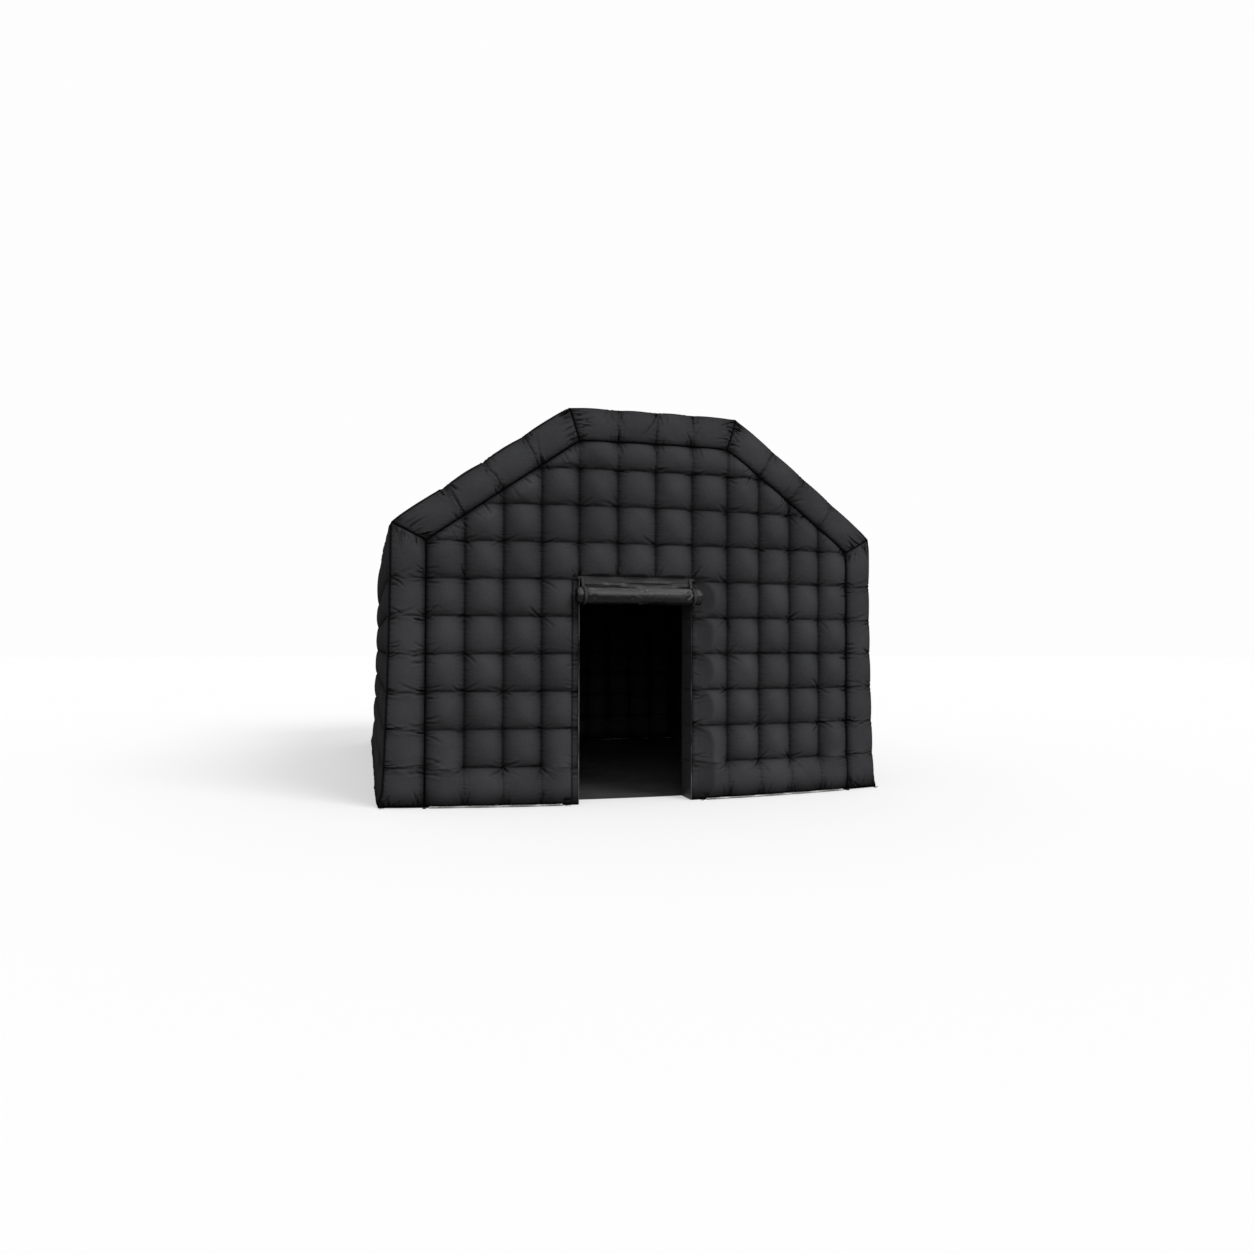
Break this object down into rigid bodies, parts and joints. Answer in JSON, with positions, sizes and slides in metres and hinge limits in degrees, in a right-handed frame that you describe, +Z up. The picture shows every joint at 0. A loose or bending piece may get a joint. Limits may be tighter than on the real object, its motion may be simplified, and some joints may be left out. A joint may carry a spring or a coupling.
{
  "type": "inflatable tent",
  "caption": "House-shaped inflatable tent of quilted air walls with a frame border, an open doorway under a rolled curtain, anchor rings, a deflation zip and a blower behind it on a sleeve.",
  "frame": {"origin": "on the ground, on the groundsheet's underside at the middle of the tent's footprint", "axes": "+Z up, the doorway faces -Y, the blower stands at +Y, +X to the right of someone facing the door"},
  "size_m": [5.2124, 7.3501, 3.824],
  "materials": {
    "wall_cloth": "matt coated nylon",
    "sheet_cloth": "coated groundsheet",
    "curtain_cloth": "slightly shiny nylon",
    "facing_cloth": "matt coated nylon",
    "piping": "corded piping",
    "webbing": "woven webbing",
    "pale_webbing": "woven webbing",
    "ring_steel": "zinc plated",
    "shaft_steel": "machined",
    "moulding": "fine grained moulding",
    "impeller_plastic": "moulded",
    "motor_can": "satin paint",
    "skid_rubber": "matt",
    "rocker_plastic": "gloss"
  },
  "bodies": {
    "tent": {"anchor_tab_back_left": "webbing", "anchor_tab_back_right": "webbing", "anchor_tab_door_left": "webbing", "anchor_tab_door_right": "webbing", "anchor_tab_front_left": "webbing", "anchor_tab_front_right": "webbing", "anchor_tab_seam_left": "webbing", "anchor_tab_seam_right": "webbing", "back_wall": "wall_cloth", "blower_handle": "moulding", "blower_housing_left": "moulding", "blower_housing_right": "moulding", "blower_motor": "motor_can", "blower_nozzle": "moulding", "blower_skid_left": "skid_rubber", "blower_skid_right": "skid_rubber", "cable_gland": "skid_rubber", "curtain_header": "curtain_cloth", "curtain_tie_left": "webbing", "curtain_tie_right": "webbing", "door_jamb_left": "facing_cloth", "door_jamb_right": "facing_cloth", "door_lintel": "facing_cloth", "door_piping_left": "piping", "door_piping_right": "piping", "floor_sheet": "sheet_cloth", "front_header_panel": "wall_cloth", "front_left_panel": "wall_cloth", "front_right_panel": "wall_cloth", "hem_webbing_left": "pale_webbing", "hem_webbing_right": "pale_webbing", "inflation_sleeve": "wall_cloth", "inlet_grille_left": "moulding", "inlet_grille_right": "moulding", "motor_bracket": "moulding", "roof_slope_left": "wall_cloth", "roof_slope_right": "wall_cloth", "roof_top": "wall_cloth", "side_wall_left": "wall_cloth", "side_wall_right": "wall_cloth", "sleeve_buckle": "moulding", "sleeve_strap": "webbing", "switch_box": "moulding", "zip_tape": "webbing"},
    "curtain_sheet": {"curtain_leader": "curtain_cloth"},
    "curtain_rolled": {"curtain_roll": "curtain_cloth"},
    "impeller_rotor": {"impeller": "impeller_plastic", "motor_shaft": "shaft_steel"},
    "rocker": {"rocker_switch": "rocker_plastic"},
    "zip_pull": {"zip_slider": "shaft_steel"},
    "ring_back_left": {"anchor_ring_back_left": "ring_steel"},
    "ring_back_right": {"anchor_ring_back_right": "ring_steel"},
    "ring_door_left": {"anchor_ring_door_left": "ring_steel"},
    "ring_door_right": {"anchor_ring_door_right": "ring_steel"},
    "ring_front_left": {"anchor_ring_front_left": "ring_steel"},
    "ring_front_right": {"anchor_ring_front_right": "ring_steel"}
  },
  "joints": [
    {"name": "curtain_drop", "type": "slide", "parent": "tent", "child": "curtain_sheet", "axis": [0, 0, -1], "range_m": [0, 1.8], "deforming": ["curtain_leader", "curtain_tie_left", "curtain_tie_right"]},
    {"name": "curtain_turn", "type": "hinge", "parent": "curtain_sheet", "child": "curtain_rolled", "pos_m": [-0.186, -3.4009, 1.955], "axis": [1, 0, 0], "range_deg": [0, 2160]},
    {"name": "impeller_spin", "type": "hinge", "parent": "tent", "child": "impeller_rotor", "pos_m": [1.269, 3.6669, 0.275], "axis": [1, 0, 0], "continuous": true},
    {"name": "rocker_press", "type": "hinge", "parent": "tent", "child": "rocker", "pos_m": [1.269, 3.4721, 0.2503], "axis": [1, 0, 0], "range_deg": [0, 16]},
    {"name": "zip_slide", "type": "slide", "parent": "tent", "child": "zip_pull", "axis": [1, 0, 0], "range_m": [0, 0.248]},
    {"name": "ring_swing_back_left", "type": "hinge", "parent": "tent", "child": "ring_back_left", "pos_m": [-2.525, 3.055, 0.006], "axis": [1, 0, 0], "range_deg": [0, 100]},
    {"name": "ring_swing_back_right", "type": "hinge", "parent": "tent", "child": "ring_back_right", "pos_m": [2.525, 3.055, 0.006], "axis": [1, 0, 0], "range_deg": [0, 100]},
    {"name": "ring_swing_door_left", "type": "hinge", "parent": "tent", "child": "ring_door_left", "pos_m": [-0.854, -3.3212, 0.006], "axis": [-1, 0, 0], "range_deg": [0, 100]},
    {"name": "ring_swing_door_right", "type": "hinge", "parent": "tent", "child": "ring_door_right", "pos_m": [0.482, -3.3445, 0.006], "axis": [-1, 0, 0], "range_deg": [0, 100]},
    {"name": "ring_swing_front_left", "type": "hinge", "parent": "tent", "child": "ring_front_left", "pos_m": [-2.525, -3.0526, 0.006], "axis": [-1, 0, 0], "range_deg": [0, 100]},
    {"name": "ring_swing_front_right", "type": "hinge", "parent": "tent", "child": "ring_front_right", "pos_m": [2.525, -3.0526, 0.006], "axis": [-1, 0, 0], "range_deg": [0, 100]}
  ],
  "couplings": [
    {"joint": "curtain_turn", "follows": "curtain_drop", "rad_per_m": 20.944}
  ]
}
